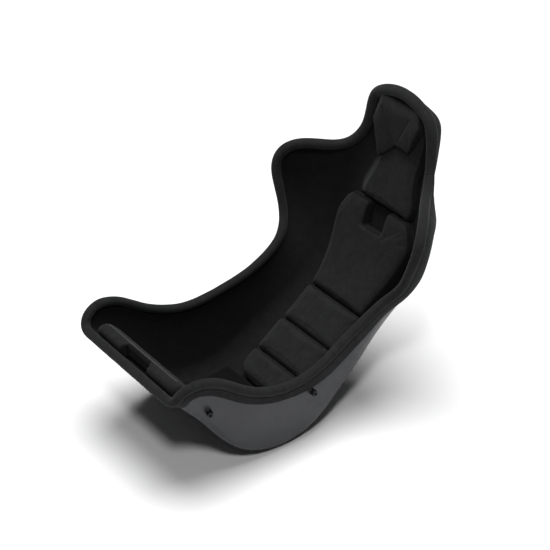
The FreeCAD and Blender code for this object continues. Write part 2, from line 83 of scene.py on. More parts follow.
# ---------------------------------------------------------------- materials
class Paint:
    """A principled material with short helpers for its node tree."""

    def __init__(self, name, color, roughness, **inputs):
        self.material = bpy.data.materials.new(name)
        self.material.use_nodes = True
        self.tree = self.material.node_tree
        self.shader = self.tree.nodes["Principled BSDF"]
        self.shader.inputs["Base Color"].default_value = (*color, 1)
        self.shader.inputs["Roughness"].default_value = roughness
        for key, value in inputs.items():
            self.shader.inputs[key.replace("_", " ")].default_value = value
        self.place = self.add("ShaderNodeTexCoord").outputs["Object"]

    def add(self, kind, **settings):
        node = self.tree.nodes.new(kind)
        for key, value in settings.items():
            setattr(node, key, value)
        return node

    def join(self, source, target):
        self.tree.links.new(source, target)

    def cloth_place(self):
        node = self.add("ShaderNodeAttribute", attribute_name="cloth")
        return node.outputs["Vector"]

    def noise(self, scale, detail=4.0, rough=0.55, place=None, stretch=None):
        node = self.add("ShaderNodeTexNoise")
        node.inputs["Scale"].default_value = scale
        node.inputs["Detail"].default_value = detail
        node.inputs["Roughness"].default_value = rough
        source = self.place if place is None else place
        if stretch:
            mapping = self.add("ShaderNodeMapping")
            mapping.inputs["Scale"].default_value = stretch
            self.join(source, mapping.inputs["Vector"])
            source = mapping.outputs["Vector"]
        self.join(source, node.inputs["Vector"])
        return node.outputs["Fac"]

    def math(self, operation, a, b=None, c=None):
        node = self.add("ShaderNodeMath", operation=operation)
        for socket, value in zip(node.inputs, (a, b, c)):
            if value is None:
                continue
            if isinstance(value, (int, float)):
                socket.default_value = value
            else:
                self.join(value, socket)
        return node.outputs[0]

    def ramp(self, source, stops):
        node = self.add("ShaderNodeValToRGB")
        ramp = node.color_ramp
        while len(ramp.elements) < len(stops):
            ramp.elements.new(0.5)
        for element, (at, color) in zip(ramp.elements, stops):
            element.position = at
            element.color = (*color, 1)
        self.join(source, node.inputs["Fac"])
        return node.outputs["Color"]

    def span(self, source, low, high, to_low, to_high):
        node = self.add("ShaderNodeMapRange")
        for key, value in zip(("From Min", "From Max", "To Min", "To Max"), (low, high, to_low, to_high)):
            node.inputs[key].default_value = value
        self.join(source, node.inputs["Value"])
        return node.outputs["Result"]

    def multiply(self, a, b, amount=1.0):
        node = self.add("ShaderNodeMix", data_type="RGBA", blend_type="MULTIPLY")
        node.inputs["Factor"].default_value = amount
        self.join(a, node.inputs["A"])
        self.join(b, node.inputs["B"])
        return node.outputs["Result"]

    def bump(self, height, depth, strength=1.0, under=None):
        node = self.add("ShaderNodeBump")
        node.inputs["Strength"].default_value = strength
        node.inputs["Distance"].default_value = depth
        self.join(height, node.inputs["Height"])
        if under is not None:
            self.join(under, node.inputs["Normal"])
        return node.outputs["Normal"]

    def finish(self, color=None, roughness=None, normal=None):
        for source, key in ((color, "Base Color"), (roughness, "Roughness"), (normal, "Normal")):
            if source is not None:
                self.join(source, self.shader.inputs[key])
        return self.material


def grey(level, blue=1.0):
    return (level, level * (1 + 0.01 * blue), level * (1 + 0.05 * blue))


def shell_paint():
    """Satin grey paint: faint orange peel over the mat, a few dust nibs and rubbed, duller patches."""
    paint = Paint("shell_laminate_satin", grey(0.027, 3.6), 0.44, Coat_Weight=0.04, Coat_Roughness=0.3,
                  Specular_IOR_Level=0.3)
    cloud = paint.noise(9.0, 5.0)
    color = paint.ramp(cloud, [(0.25, (0.0245, 0.0255, 0.0295)), (0.75, (0.0280, 0.0290, 0.0335))])
    rubbed = paint.noise(38.0, 6.0, 0.65)
    roughness = paint.span(rubbed, 0.3, 0.7, 0.36, 0.50)
    mat = paint.noise(260.0, 2.0, 0.5)
    peel = paint.noise(900.0, 1.0, 0.4)
    normal = paint.bump(mat, 0.0004, 0.35)
    normal = paint.bump(peel, 0.00012, 0.35, normal)
    return paint.finish(color, roughness, normal)


def suede(name, level, spread, nap=1.0, weave=0.0, sheen=0.25, walls=False):
    """Brushed fabric: mottled nap lying in patches, fine fibres and, on the pads, a twill under it."""
    paint = Paint(name, grey(level), 0.92, Sheen_Weight=sheen, Sheen_Roughness=0.45,
                  Specular_IOR_Level=0.1)
    paint.shader.inputs["Sheen Tint"].default_value = (0.75, 0.77, 0.8, 1)
    cloth = paint.cloth_place()
    patches = paint.noise(42.0, 5.0, 0.62, cloth, (1.0, 1.0, 1.0))
    strokes = paint.noise(160.0, 4.0, 0.6, cloth, (1.0, 0.35, 1.0))
    fibres = paint.noise(2600.0, 3.0, 0.7, cloth, (1.0, 0.4, 1.0))
    mottle = paint.math("ADD", paint.math("MULTIPLY", patches, 0.55), paint.math("MULTIPLY", strokes, 0.45))
    low, high = level * (1 - spread), level * (1 + spread)
    color = paint.ramp(mottle, [(0.32, grey(low)), (0.5, grey(level)), (0.68, grey(high))])
    speck = paint.span(fibres, 0.25, 0.75, 0.72, 1.28)
    tone = paint.add("ShaderNodeCombineColor")
    for socket in tone.inputs:
        paint.join(speck, socket)
    color = paint.multiply(color, tone.outputs["Color"])
    # The attribute darkens the pads' side walls; on the thigh pad it holds the recess mask and paints shade
    # into the crotch-strap recess.
    if walls:
        side = paint.add("ShaderNodeAttribute", attribute_name="wall")
        shade = paint.ramp(side.outputs["Fac"], [(0.42, (1, 1, 1)), (0.58, (0.42, 0.42, 0.44))])
        color = paint.multiply(color, shade)
    roughness = paint.span(mottle, 0.3, 0.7, 0.98, 0.84)
    height = paint.math("ADD", fibres, paint.math("MULTIPLY", strokes, 0.6))
    normal = paint.bump(height, 0.00035 * nap, 0.8)
    if weave:
        parts = paint.add("ShaderNodeSeparateXYZ")
        paint.join(cloth, parts.inputs[0])
        rate = 2 * math.pi / 0.0016
        lean = paint.math("ADD", parts.outputs[0], parts.outputs[1])
        back = paint.math("SUBTRACT", parts.outputs[0], parts.outputs[1])
        rib = paint.math("SINE", paint.math("MULTIPLY", lean, rate))
        cross = paint.math("SINE", paint.math("MULTIPLY", back, rate * 0.5))
        twill = paint.math("MULTIPLY", rib, paint.math("MULTIPLY_ADD", cross, 0.35, 0.65))
        normal = paint.bump(twill, 0.00016 * weave, 0.8, normal)
    return paint.finish(color, roughness, normal)


def thread_paint():
    paint = Paint("stitch_thread", grey(0.02), 0.7, Sheen_Weight=0.05, Specular_IOR_Level=0.2)
    ply = paint.noise(1800.0, 2.0)
    color = paint.ramp(ply, [(0.3, grey(0.016)), (0.7, grey(0.030))])
    return paint.finish(color, None, paint.bump(ply, 0.0002, 0.7))


def zinc_paint():
    """Black zinc: dark blue-grey, with lathe rings and bright wear where a bracket bears."""
    paint = Paint("insert_black_zinc", (0.022, 0.023, 0.027), 0.38, Metallic=0.85)
    stain = paint.noise(240.0, 5.0, 0.7)
    color = paint.ramp(stain, [(0.3, (0.016, 0.017, 0.02)), (0.62, (0.03, 0.031, 0.036)),
                               (0.8, (0.075, 0.075, 0.08))])
    roughness = paint.span(stain, 0.3, 0.7, 0.3, 0.5)
    return paint.finish(color, roughness, paint.bump(paint.noise(1500.0, 2.0), 0.0001, 0.5))


def tape_paint():
    """Hook tape: rows of tiny hooks on a woven ground."""
    paint = Paint("hook_tape_black", grey(0.014), 0.7, Sheen_Weight=0.2)
    cells = paint.add("ShaderNodeTexVoronoi")
    cells.inputs["Scale"].default_value = 1100.0
    paint.join(paint.place, cells.inputs["Vector"])
    color = paint.ramp(cells.outputs["Distance"], [(0.1, grey(0.03)), (0.6, grey(0.008))])
    return paint.finish(color, None, paint.bump(cells.outputs["Distance"], 0.0004, 0.9))


SHELL_PAINT = shell_paint()
PAD_CLOTH = suede("pad_fabric_mottled", 0.0132, 0.30, weave=1.0, sheen=0.07, walls=True)
EDGE_CLOTH = suede("edge_fabric_brushed", 0.0148, 0.28, nap=1.2, sheen=0.08)
LINING_CLOTH = suede("lining_fabric_black", 0.0074, 0.22, nap=0.7, sheen=0.05)
# The piping's light grey cloth is a painted highlight along the thigh pad's crest.
PIPING_CLOTH_PAINTED_HIGHLIGHT = suede("piping_satin", 0.045, 0.12, nap=0.5, sheen=0.2)
# The seat pad's near-black cloth is painted shade: it stands in for the shadow deep in the seat pan.
SEAT_CLOTH_PAINTED_SHADE = suede("seat_fabric_black", 0.0024, 0.2, weave=1.0, sheen=0.02)
THREAD = thread_paint()
ZINC = zinc_paint()
TAPE = tape_paint()


# ---------------------------------------------------------------- mesh helpers
def points_of(obj):
    flat = np.empty(len(obj.data.vertices) * 3, np.float32)
    obj.data.vertices.foreach_get("co", flat)
    return flat.reshape(-1, 3).astype(float)


def put_points(obj, points):
    obj.data.vertices.foreach_set("co", points.astype(np.float32).ravel())
    obj.data.update()


def unit(rows):
    return rows / np.maximum(np.linalg.norm(rows, axis=-1, keepdims=True), 1e-12)


def ramp_up(x, low, high):
    return np.clip((x - low) / (high - low), 0, 1)


def smoothstep(x, low, high):
    s = ramp_up(x, low, high)
    return s * s * (3 - 2 * s)


def lengths_along(path):
    """Distance from a path's first point to each of its points."""
    return np.concatenate([[0], np.cumsum(np.linalg.norm(np.diff(path, axis=0), axis=1))])


def at_length(rows, lengths, s):
    return np.array([np.interp(s, lengths, rows[:, k]) for k in range(3)])


def loft_faces(rings, around, closed=False):
    """Faces between rings of points; a closed loft joins the last ring to the first."""
    faces = []
    for row in range(rings if closed else rings - 1):
        here, there = row * around, (row + 1) % rings * around
        for k in range(around):
            after = (k + 1) % around
            faces.append((here + k, here + after, there + after, there + k))
    return faces


def end_caps(rings, around):
    last = (rings - 1) * around
    return [tuple(reversed(range(around))), tuple(last + k for k in range(around))]


def make_object(name, points, faces, *materials):
    mesh = bpy.data.meshes.new(name)
    mesh.from_pydata([tuple(p) for p in points], [], [tuple(f) for f in faces])
    for material in materials:
        mesh.materials.append(material)
    mesh.polygons.foreach_set("use_smooth", [True] * len(mesh.polygons))
    mesh.update()
    obj = bpy.data.objects.new(name, mesh)
    bpy.context.scene.collection.objects.link(obj)
    return obj


def grid_faces(rows, cols):
    at = np.arange(rows * cols).reshape(rows, cols)
    return np.stack([at[:-1, :-1], at[:-1, 1:], at[1:, 1:], at[1:, :-1]], -1).reshape(-1, 4)


def set_cloth(obj, values):
    """Where each point lies on the flat cloth, for the nap and the weave."""
    layer = obj.data.attributes.new("cloth", "FLOAT_VECTOR", "POINT")
    layer.data.foreach_set("vector", values.astype(np.float32).ravel())


def tree_of(obj):
    return BVHTree.FromPolygons([v.co for v in obj.data.vertices], [p.vertices for p in obj.data.polygons])


def normals_of(obj):
    flat = np.empty(len(obj.data.vertices) * 3, np.float32)
    obj.data.vertex_normals.foreach_get("vector", flat)
    return flat.reshape(-1, 3).astype(float)


def finish_piece(obj, slot, *nodes):
    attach(obj, "root")
    if nodes:
        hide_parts(*nodes)
    return obj


# ---------------------------------------------------------------- the rim, read from the shell's sharp edges
def sharp_points(obj, degrees, spacing=0.0015):
    """Close-set places along the sharp edges of a mesh."""
    points = points_of(obj)
    _, first, weld = np.unique(np.round(points * 1e5).astype(np.int64), axis=0,
                               return_index=True, return_inverse=True)
    place = points[first]
    obj.data.calc_loop_triangles()
    corners = np.empty(len(obj.data.loop_triangles) * 3, np.int32)
    obj.data.loop_triangles.foreach_get("vertices", corners)
    tri = weld.ravel()[corners.reshape(-1, 3)]
    normal = np.cross(place[tri[:, 1]] - place[tri[:, 0]], place[tri[:, 2]] - place[tri[:, 0]])
    size = np.linalg.norm(normal, axis=1)
    tri, normal = tri[size > 1e-9], normal[size > 1e-9] / size[size > 1e-9][:, None]
    edges = np.sort(np.concatenate([tri[:, [0, 1]], tri[:, [1, 2]], tri[:, [2, 0]]]), axis=1)
    owner = np.tile(np.arange(len(tri)), 3)
    order = np.lexsort((edges[:, 1], edges[:, 0]))
    edges, owner = edges[order], owner[order]
    pair = np.where((edges[1:] == edges[:-1]).all(1))[0]
    turn = (normal[owner[pair]] * normal[owner[pair + 1]]).sum(1)
    sharp = edges[pair[turn < math.cos(math.radians(degrees))]]
    cloud = []
    for a, b in zip(place[sharp[:, 0]], place[sharp[:, 1]]):
        count = int(np.linalg.norm(b - a) / spacing) + 2
        cloud.append(a + (b - a) * np.linspace(0, 1, count)[:, None])
    return np.unique(np.round(np.concatenate(cloud), 6), axis=0)


def ring_through(cloud, start, heading):
    """Follow a line of points from one of them until it comes back round."""
    nearest, farthest, straightness, lost = 0.003, 0.04, 8, 0.1
    home, first_steps = 0.0045, 20
    ring = [start]
    place, way = cloud[start], np.array(heading)
    while len(ring) < len(cloud):
        step = cloud - place
        ahead = step @ way
        side = np.linalg.norm(step - ahead[:, None] * way, axis=1)
        in_reach = (ahead > nearest) & (ahead < farthest)
        cost = np.where(in_reach, ahead + straightness * side, np.inf)
        best = int(cost.argmin())
        back_home = len(ring) > first_steps and np.linalg.norm(cloud[start] - place) < home
        if cost[best] > lost or back_home:
            break
        way = unit(cloud[best] - place)
        place = cloud[best]
        ring.append(best)
    return cloud[ring]


def rim_rings(shell, lining):
    """The two edges of the shell's rim: the one against the lining, then the outer one."""
    cloud = sharp_points(shell, RIM_SHARP)
    tree = tree_of(lining)
    on_lining = np.array([tree.find_nearest(Vector(p))[3] for p in cloud]) < 0.001
    rings = []
    for part in (cloud[on_lining], cloud[~on_lining]):
        start = int(np.argmin(part[:, 1] + np.abs(part[:, 0])))
        rings.append(ring_through(part, start, (1.0, 0.0, 0.0)))
    return rings


def even_ring(ring, count):
    closed = np.vstack([ring, ring[:1]])
    at = lengths_along(closed)
    want = np.linspace(0, at[-1], count, endpoint=False)
    return np.column_stack([np.interp(want, at, closed[:, k]) for k in range(3)])


def smooth_ring(rows, sigma):
    """Gaussian smoothing round a closed ring of rows; sigma in rows."""
    reach = int(3 * sigma) + 1
    weights = np.exp(-0.5 * (np.arange(-reach, reach + 1) / sigma) ** 2)
    weights /= weights.sum()
    return sum(w * np.roll(rows, k - reach, axis=0) for k, w in enumerate(weights))


class Rim:
    """Even frames along the rim: out of the shell, down into its wall, and along."""

    def __init__(self, shell, lining):
        loops = rim_rings(shell, lining)
        length = np.linalg.norm(np.roll(loops[0], -1, axis=0) - loops[0], axis=1).sum()
        self.count = int(length / RIM_STEP)
        self.step = length / self.count
        mould = even_ring(loops[0], self.count)
        outer = even_ring(loops[1], self.count * 3)
        start = int(np.argmin(mould[:, 1] + np.abs(mould[:, 0])))
        mould = np.roll(mould, -start, axis=0)
        if mould[self.count // 4, 0] < 0:
            mould = np.roll(mould[::-1], 1, axis=0)
        gap = ((mould[:, None, :] - outer[None, :, :]) ** 2).sum(2)
        out = unit(outer[gap.argmin(1)] - mould)
        self.place = smooth_ring(mould, 2.5)
        self.along = unit(np.roll(self.place, -1, axis=0) - np.roll(self.place, 1, axis=0))
        out = smooth_ring(out, 5.0)
        self.out = unit(out - self.along * (out * self.along).sum(1, keepdims=True))
        down = np.cross(self.along, self.out)
        self.down = down if down[0, 2] < 0 else -down
        self.centre = self.place + self.out * ((SHELL_T - LINING_T) / 2)

    def flap_depth(self):
        side = ramp_up(self.place[:, 1], *FLAP_SIDE_Y)
        head = ramp_up(self.place[:, 2], *FLAP_HEAD_Z)
        return FLAP + FLAP_SIDE * side - FLAP_HEAD * head

    def roll_radius(self):
        z = self.place[:, 2]
        return ROLL_R + ROLL_WING * smoothstep(z, *WING_Z) + ROLL_HEAD * smoothstep(z, *HEAD_Z)

    def walk(self, tree, start, facing, depths):
        """Feet and face normals down a wall at even depths below the rim."""
        feet = np.zeros((self.count, len(depths), 3))
        faces = np.zeros_like(feet)
        for i in range(self.count):
            place = Vector(start[i])
            heading = Vector(self.down[i])
            side = Vector(facing[i])
            last = 0.0
            for k, depth in enumerate(depths):
                foot, face, _, _ = tree.find_nearest(place + heading * (depth - last))
                if face.dot(side) < 0:
                    face = -face
                if k:
                    heading = (foot - place).normalized()
                feet[i, k] = foot
                faces[i, k] = face
                place, side, last = foot, face, depth
        return smooth_ring(feet, 1.2), unit(smooth_ring(faces, 3.0))


def along_depth(feet, faces, depths, want, lift):
    """Points at chosen depths (one per rim place) lifted off the wall."""
    rows = np.arange(len(feet))
    at = np.clip(np.searchsorted(depths, want) - 1, 0, len(depths) - 2)
    share = ((want - depths[at]) / (depths[at + 1] - depths[at]))[:, None]
    foot = feet[rows, at] * (1 - share) + feet[rows, at + 1] * share
    face = unit(faces[rows, at] * (1 - share) + faces[rows, at + 1] * share)
    return foot + face * lift


# Across the edge cover. HEM: distance up from the flap's lower edge, and lift off the shell, with a dip for
# the stitches. TUCK_OUT and TUCK_IN: depth below the rim, and lift, where the cover goes under the roll.
FLAP_LIFT = 0.0021
HEM = ((-0.0001, 0.0001), (-0.0007, 0.0007), (-0.0004, 0.0015), (0.0009, 0.0020), (0.0030, FLAP_LIFT),
       (0.0044, 0.0020), (0.0052, 0.0018), (0.0060, 0.0020), (0.0074, FLAP_LIFT))
HEM_STITCHES = 6            # the point of the hem that they follow
FLAP_TOP = 0.0150
TUCK_OUT = ((0.0134, 0.0020), (0.0122, 0.0015), (0.0112, 0.0009))
TUCK_IN = ((0.0106, 0.0008), (0.0114, 0.0009), (0.0122, 0.0008), (0.0128, 0.0004), (0.0130, 0.0001))
ROLL_ARC = (-55, 235)       # degrees, from straight out of the shell over the rim
ROLL_POINTS = 37
ROLL_INSIDE = 40            # the point of the whole row that lengths of cloth are measured along


def cover_sections(rim, shell, lining):
    """Rows of points across the edge cover: hem, flap, roll and the tail inside."""
    depths = np.arange(0.004, 0.054, 0.002)
    outer = rim.walk(tree_of(shell), rim.place + rim.out * SHELL_T, rim.out, depths)
    inner = rim.walk(tree_of(lining), rim.place - rim.out * LINING_T, -rim.out, depths)
    flap = rim.flap_depth()
    columns = [along_depth(*outer, depths, flap - back, lift) for back, lift in HEM]
    hem_end = HEM[-1][0]
    for share in (0.25, 0.5, 0.75, 1.0):
        want = (flap - hem_end) * (1 - share) + FLAP_TOP * share
        columns.append(along_depth(*outer, depths, want, FLAP_LIFT))
    for depth, lift in TUCK_OUT:
        columns.append(along_depth(*outer, depths, np.full(rim.count, depth), lift))
    seam_out = len(columns) - 1
    radius = rim.roll_radius()
    for angle in np.radians(np.linspace(*ROLL_ARC, ROLL_POINTS)):
        spoke = rim.out * math.cos(angle) - rim.down * math.sin(angle)
        columns.append(rim.centre + spoke * radius[:, None])
    seam_in = len(columns)
    for depth, lift in TUCK_IN:
        columns.append(along_depth(*inner, depths, np.full(rim.count, depth), lift))
    return np.stack(columns, 1), seam_out, seam_in


def grid_normals(grid):
    along = np.roll(grid, -1, axis=0) - np.roll(grid, 1, axis=0)
    across = np.gradient(grid, axis=1)
    return unit(np.cross(along, across))


# One stitch: (place along it, rise over the cloth in radii, thickness), diving in at both ends.
STITCH_PROFILE = ((-0.5, -0.9, 0.5), (-0.38, 0.1, 0.95), (-0.12, 0.75, 1.0), (0.12, 0.75, 1.0),
                  (0.38, 0.1, 0.95), (0.5, -0.9, 0.5))
STITCH_SIDES = 6


def stitches(name, path, faces, radius, lift):
    """Thread laid along a path in short rounded stitches."""
    at = lengths_along(path)
    end = at[-1]
    count = int(end / STITCH)
    angles = np.linspace(0, 2 * math.pi, STITCH_SIDES + 1)[:-1]
    one = loft_faces(len(STITCH_PROFILE), STITCH_SIDES) + end_caps(len(STITCH_PROFILE), STITCH_SIDES)
    points, polygons = [], []
    for k in range(count):
        middle = (k + 0.5) * end / count
        base = len(points)
        for share, rise, fat in STITCH_PROFILE:
            s = min(max(middle + share * STITCH_LENGTH, 0), end)
            face = unit(at_length(faces, at, s))
            ahead = min(s + 0.0005, end)
            way = unit(at_length(path, at, ahead) - at_length(path, at, ahead - 0.001))
            side = np.cross(way, face)
            place = at_length(path, at, s) + face * (lift + rise * radius)
            for angle in angles:
                points.append(place + (side * math.cos(angle) + face * math.sin(angle)) * radius * fat)
        polygons += [tuple(base + corner for corner in polygon) for polygon in one]
    return make_object(name, points, polygons, THREAD)


def sewn_ripples(rim, grid, face, across, seams):
    """Puckers where the cover is drawn in by its seams, and a slow swell along the roll."""
    total = rim.count * rim.step
    s = np.arange(rim.count) * rim.step

    def wave(turns, shift):
        return np.sin(2 * math.pi * (turns * s / total) + shift)

    ripple = 0.5 * wave(251, 0.3) + 0.3 * wave(173, 1.9) + 0.35 * wave(97, 4.1)
    swell = 0.6 * wave(31, 0.8) + 0.4 * wave(57, 2.2)
    for seam in seams:
        reach = np.abs(across - across[:, seam:seam + 1])
        fade = np.exp(-(reach / 0.0055) ** 2)
        push = 0.00034 * ripple[:, None] * fade
        grid = grid + face * push[:, :, None]
    roll = np.zeros(grid.shape[1])
    roll[seams[0] + 1:seams[1]] = 1
    return grid + face * (0.00022 * swell[:, None] * roll[None, :])[:, :, None]


def turned_in(part, normal, end):
    """A length of cover with extra rows that sink into the seam at one of its ends."""
    order = 1 if end == 0 else -2
    rows = []
    for share, sink in ((0.0, 0.0016), (0.06, 0.0008), (0.22, 0.0003), (0.45, 0.0)):
        row = part[end] * (1 - share) + part[order] * share
        rows.append(row - normal[end] * sink)
    rows = np.array(rows)
    if end == 0:
        return np.concatenate([rows, part[1:]]), np.concatenate([normal[:1]] * 4 + [normal[1:]])
    return np.concatenate([part[:-1], rows[::-1]]), np.concatenate([normal[:-1]] + [normal[-1:]] * 4)


def edge_covers(rim, shell, lining):
    """Four sewn lengths of cover, turned in where they meet, and their stitches."""
    grid, seam_out, seam_in = cover_sections(rim, shell, lining)
    grid = smooth_ring(grid, 0.9)
    count, cols = grid.shape[:2]
    face = grid_normals(grid)
    crest = (seam_out + seam_in) // 2
    spoke = grid[:, crest] - rim.centre
    face = face * np.sign((face[:, crest] * spoke).sum(1).mean())
    across = np.concatenate([np.zeros((count, 1)),
                             np.cumsum(np.linalg.norm(np.diff(grid, axis=1), axis=2), axis=1)], 1)
    grid = sewn_ripples(rim, grid, face, across, (seam_out, seam_in))
    half = rim.place[:count // 2]
    corner = int(np.argmax(half[:, 1] > FRONT_SEAM_Y))
    neck = int(np.argmax((half[:, 2] > NECK_SEAM_Z) & (half[:, 1] > NECK_SEAM_Y)))
    panels = (("front", count - corner, count + corner, ()),
              ("left", corner, neck, ("edge_foam_left",)),
              ("head", neck, count - neck, ()),
              ("right", count - neck, count - corner, ("edge_foam_right",)))
    for name, first, last, foam in panels:
        rows = np.arange(first, last + 1) % count
        part, normal = turned_in(grid[rows], face[rows], 0)
        part, normal = turned_in(part, normal, -1)
        obj = make_object("edge_cover_" + name + "_cloth", part.reshape(-1, 3),
                          grid_faces(len(part), cols), EDGE_CLOTH)
        flat = np.zeros((len(part), cols, 3))
        flat[:, :, 0] = lengths_along(part[:, ROLL_INSIDE])[:, None] + first * rim.step
        flat[:, :, 1] = across[rows[0]][None, :]
        set_cloth(obj, flat.reshape(-1, 3))
        finish_piece(obj, "edge_fabric", "edge_cover_" + name, *foam)
    ring = np.concatenate([np.arange(count), [0]])
    under = seam_out - 3
    hem = stitches("edge_stitching_hem", grid[ring, HEM_STITCHES], face[ring, HEM_STITCHES],
                   HEM_THREAD, 0.0002)
    roll = stitches("edge_stitching_roll", grid[ring, under], face[ring, under], ROLL_THREAD, 0.0001)
    for obj in (hem, roll):
        finish_piece(obj, "edge_fabric")


# ---------------------------------------------------------------- soft pads
LINING_TREE = tree_of(NODES["inner_lining"])


def copy_mesh(node, name):
    obj = bpy.data.objects.new(name, NODES[node].data.copy())
    bpy.context.scene.collection.objects.link(obj)
    obj.data.materials.clear()
    return obj


def apply_modifiers(obj):
    bpy.context.view_layer.update()
    graph = bpy.context.evaluated_depsgraph_get()
    mesh = bpy.data.meshes.new_from_object(obj.evaluated_get(graph))
    obj.modifiers.clear()
    old = obj.data
    obj.data = mesh
    bpy.data.meshes.remove(old)
    mesh.name = obj.name


def remesh(obj, size):
    modifier = obj.modifiers.new("remesh", "REMESH")
    modifier.mode = "VOXEL"
    modifier.voxel_size = size
    modifier.use_smooth_shade = True
    apply_modifiers(obj)


def relax(obj):
    modifier = obj.modifiers.new("relax", "SMOOTH")
    modifier.iterations = 1
    modifier.factor = 0.5
    apply_modifiers(obj)


def puff(obj, plan, pinned):
    """Swell the pad as cloth under pressure, but no point farther than its plan says."""
    before = points_of(obj)
    normal = normals_of(obj)
    last_frame = 20
    group = obj.vertex_groups.new(name="held")
    group.add([int(k) for k in np.where(pinned)[0]], 1.0, "REPLACE")
    modifier = obj.modifiers.new("cloth", "CLOTH")
    cloth = modifier.settings
    cloth.quality = 5
    cloth.mass = 0.25
    cloth.tension_stiffness = 18
    cloth.compression_stiffness = 18
    cloth.shear_stiffness = 8
    cloth.bending_stiffness = 0.8
    cloth.air_damping = 2.0
    cloth.use_pressure = True
    cloth.uniform_pressure_force = 4.0
    cloth.vertex_group_mass = "held"
    cloth.effector_weights.gravity = 0
    modifier.collision_settings.use_collision = False
    modifier.point_cache.frame_start = 1
    modifier.point_cache.frame_end = last_frame
    for step in range(1, last_frame + 1):
        bpy.context.scene.frame_set(step)
    apply_modifiers(obj)
    obj.vertex_groups.clear()
    after = points_of(obj)
    move = after - before
    size = np.linalg.norm(move, axis=1)
    cap = np.where(pinned, 0.0, plan.side + (plan.top - plan.side) * off_lining(plan, before, normal))
    scale = np.minimum(1.0, cap / np.maximum(size, 1e-9))
    put_points(obj, before + move * scale[:, None])
    bpy.context.scene.frame_set(1)


def topness(points, normal):
    """1 where a pad's surface faces away from the lining, 0 on its side walls."""
    facing = np.zeros(len(points))
    for k, point in enumerate(points):
        foot, _, _, _ = LINING_TREE.find_nearest(Vector(point))
        away = Vector(point) - foot
        if away.length > 1e-6:
            facing[k] = max(0.0, away.normalized().dot(Vector(normal[k])))
    return smoothstep(facing, 0.45, 0.9)


def lining_gap(points):
    return np.array([LINING_TREE.find_nearest(Vector(p))[3] for p in points])


def near_lines(points, lines):
    """Distance from each point to the nearest of some straight lines."""
    best = np.full(len(points), 9.0)
    for a, b in lines:
        a, b = np.array(a), np.array(b)
        share = np.clip(((points - a) @ (b - a)) / ((b - a) @ (b - a)), 0, 1)
        best = np.minimum(best, np.linalg.norm(points - a - share[:, None] * (b - a), axis=1))
    return best


def unevenness(points, size):
    """A slow, fixed unevenness of about +-1 for hand-filled pads."""
    p = points * (2 * math.pi / size)
    total = np.sin(p[:, 0] * 1.0 + p[:, 2] * 0.7 + 0.4) + np.sin(p[:, 1] * 1.3 - p[:, 0] * 0.6 + 2.1)
    total += 0.6 * np.sin(p[:, 2] * 2.1 + p[:, 1] * 1.1 + p[:, 0] * 1.7 + 4.0)
    return total / 2.2


def pad_axes(points):
    """Across, along and off directions of a pad."""
    flat = points[:, 1:] - points[:, 1:].mean(0)
    _, vectors = np.linalg.eigh(flat.T @ flat)
    along = np.array([0, vectors[0, 1], vectors[1, 1]])
    if along[1] + along[2] < 0:
        along = -along
    across = np.array([1.0, 0, 0])
    return np.stack([across, along, np.cross(across, along)])


class PadPlan:
    """How one pad is filled and sewn."""

    def __init__(self, cloth=None, voxel=0.0031, top=0.0016, side=0.0018, on_lining=True, walls=True,
                 seams=(), flat_seams=False, seam_depth=0.0011, feather=0.0, reach_up=0.0, recess=0.0):
        self.cloth = cloth or PAD_CLOTH
        self.voxel = voxel
        self.fill = 0.8
        self.top = top                  # most that the filling swells its face, and its side walls
        self.side = side
        self.on_lining = on_lining      # False for a pad that bridges the lining
        self.walls = walls              # side walls are darker, with a groove along their top
        self.seams = seams              # straight lines; flat_seams are laid on it from the front
        self.flat_seams = flat_seams
        self.seam_depth = seam_depth
        self.feather = feather          # width over which its right border tapers to the lining
        self.reach_up = reach_up        # how far its top is drawn up
        self.recess = recess            # half width of the crotch-strap recess

    def seam_distance(self, points):
        if not self.seams:
            return np.full(len(points), 9.0)
        places = points.copy()
        if self.flat_seams:
            places[:, 1] = 0
        return near_lines(places, self.seams)


def off_lining(plan, points, normal):
    """1 on a pad's face, 0 on its walls and its underside."""
    if plan.on_lining:
        return topness(points, normal)
    return smoothstep(-normal[:, 1] + 0.35 * normal[:, 2], 0.2, 0.6)


def feathered(points, width):
    """Taper a pad down to the lining over its -X border."""
    rows = np.round(points[:, 2] / 0.006).astype(int)
    low = {row: points[rows == row, 0].min() for row in np.unique(rows)}
    edge = np.array([low[row] for row in rows])
    share = smoothstep(points[:, 0] - edge, 0.0, width)
    out = points.copy()
    for k in np.where(share < 0.999)[0]:
        foot, _, _, gap = LINING_TREE.find_nearest(Vector(points[k]))
        keep = min(1.0, (0.0012 + gap * share[k]) / max(gap, 1e-6))
        out[k] = np.array(foot) + (points[k] - np.array(foot)) * keep
    return out


def drawn_up(points, reach):
    """The headrest's top drawn up, and out to the sides with it."""
    share = smoothstep(points[:, 2], 0.610, 0.680)
    lift = np.column_stack([0.12 * points[:, 0], np.zeros(len(points)), np.full(len(points), reach)])
    return points + share[:, None] * lift


def fill_pad(obj, plan):
    """Turn the foam's mesh into a swollen cushion, held where it lies on the lining and at its seams."""
    if plan.reach_up:
        put_points(obj, drawn_up(points_of(obj), plan.reach_up))
    remesh(obj, plan.voxel)
    relax(obj)
    points = points_of(obj)
    normal = normals_of(obj)
    gap = lining_gap(points)
    held = gap < 0.0034 if plan.on_lining else normal[:, 1] > 0.55
    held |= plan.seam_distance(points) < 0.0022
    points = points + normal * (COVER_OUT * smoothstep(gap, 0.001, 0.006))[:, None]
    put_points(obj, points)
    puff(obj, plan, held)
    modifier = obj.modifiers.new("finer", "SUBSURF")
    modifier.levels = 1
    modifier.render_levels = 1
    apply_modifiers(obj)


